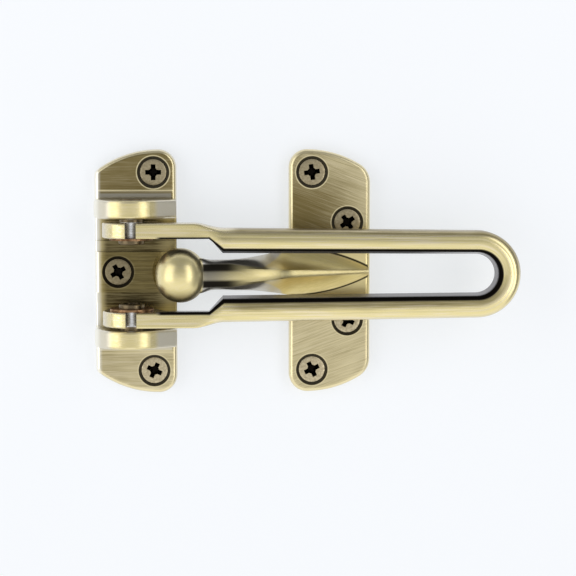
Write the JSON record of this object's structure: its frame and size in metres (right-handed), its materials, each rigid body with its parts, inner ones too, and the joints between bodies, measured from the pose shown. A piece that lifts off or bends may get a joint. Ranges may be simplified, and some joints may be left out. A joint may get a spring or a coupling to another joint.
{
  "type": "swing bar door guard",
  "caption": "Swing bar door guard in aged brushed brass: a looped bar hinged between the ears of a frame bracket closes over the ball-ended arm of a door plate.",
  "frame": {"origin": "centre of the frame bracket's back face, on the mounting plane", "axes": "+X from the frame bracket to the door plate, +Y up along the hinge axis, +Z out of the wall"},
  "size_m": [0.1204, 0.07, 0.0496],
  "materials": {
    "frame_brass": "aged, brushed across the plate",
    "bar_brass": "aged, brushed along the arms",
    "door_brass": "aged, brushed across the plate, polished ball",
    "pin_steel": "bright turned steel",
    "washer_bronze": "dull bronze",
    "screw_brass": "dull aged brass"
  },
  "bodies": {
    "fixed_parts": {"frame_bracket": "frame_brass", "upper_pivot_pin": "pin_steel", "lower_pivot_pin": "pin_steel", "upper_friction_washer": "washer_bronze", "lower_friction_washer": "washer_bronze", "frame_screws": "screw_brass", "door_plate": "door_brass", "door_screws": "screw_brass"},
    "swing_bar": {"swing_bar": "bar_brass"}
  },
  "joints": [
    {"name": "bar_swing", "type": "hinge", "parent": "fixed_parts", "child": "swing_bar", "pos_m": [-0.001, 0, 0.0104], "axis": [0, -1, 0], "range_deg": [0, 180]}
  ]
}
